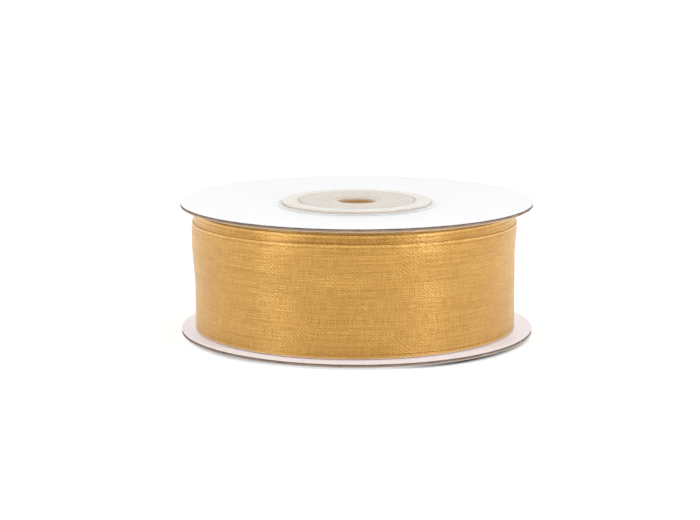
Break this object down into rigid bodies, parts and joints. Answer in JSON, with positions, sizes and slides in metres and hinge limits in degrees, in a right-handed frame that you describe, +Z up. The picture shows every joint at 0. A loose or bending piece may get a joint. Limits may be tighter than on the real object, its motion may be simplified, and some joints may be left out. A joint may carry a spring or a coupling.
{
  "type": "ribbon spool",
  "caption": "Wide sheer gold ribbon wound on a card tube between two white card discs, with a moulded plug and a spindle hole at each end.",
  "frame": {"origin": "on the floor under the middle of the lower hub plug, whose raised ring carries the spool", "axes": "+Z up along the axis of the spool; -Y towards the viewer of the picture"},
  "size_m": [0.113, 0.113, 0.0432],
  "materials": {
    "white_paper": "matte coated paper",
    "grey_board": "raw cut grey board",
    "plug_plastic": "satin off-white moulding",
    "brown_tube": "wound brown paper",
    "ribbon": "sheer woven, shimmering",
    "paper_tape": "creped paper tape",
    "clear_tape": "clear gloss"
  },
  "bodies": {
    "reel": {"core_tube": "brown_tube", "bottom_hub_plug": "plug_plastic", "top_hub_plug": "plug_plastic", "ribbon_roll": "ribbon", "ribbon_outer_turn": "ribbon", "ribbon_start_tape": "paper_tape", "ribbon_end_tape": "clear_tape"},
    "top_disc": {"top_disc_inner_paper": "white_paper", "top_disc_board": "grey_board", "top_disc_outer_paper": "white_paper"},
    "bottom_disc": {"bottom_disc_inner_paper": "white_paper", "bottom_disc_board": "grey_board", "bottom_disc_outer_paper": "white_paper"}
  },
  "joints": [
    {"name": "top_disc_turn", "type": "hinge", "parent": "reel", "child": "top_disc", "pos_m": [0, 0, 0.04135], "axis": [0, 0, 1], "continuous": true},
    {"name": "bottom_disc_turn", "type": "hinge", "parent": "reel", "child": "bottom_disc", "pos_m": [0, 0, 0.00185], "axis": [0, 0, 1], "continuous": true}
  ]
}
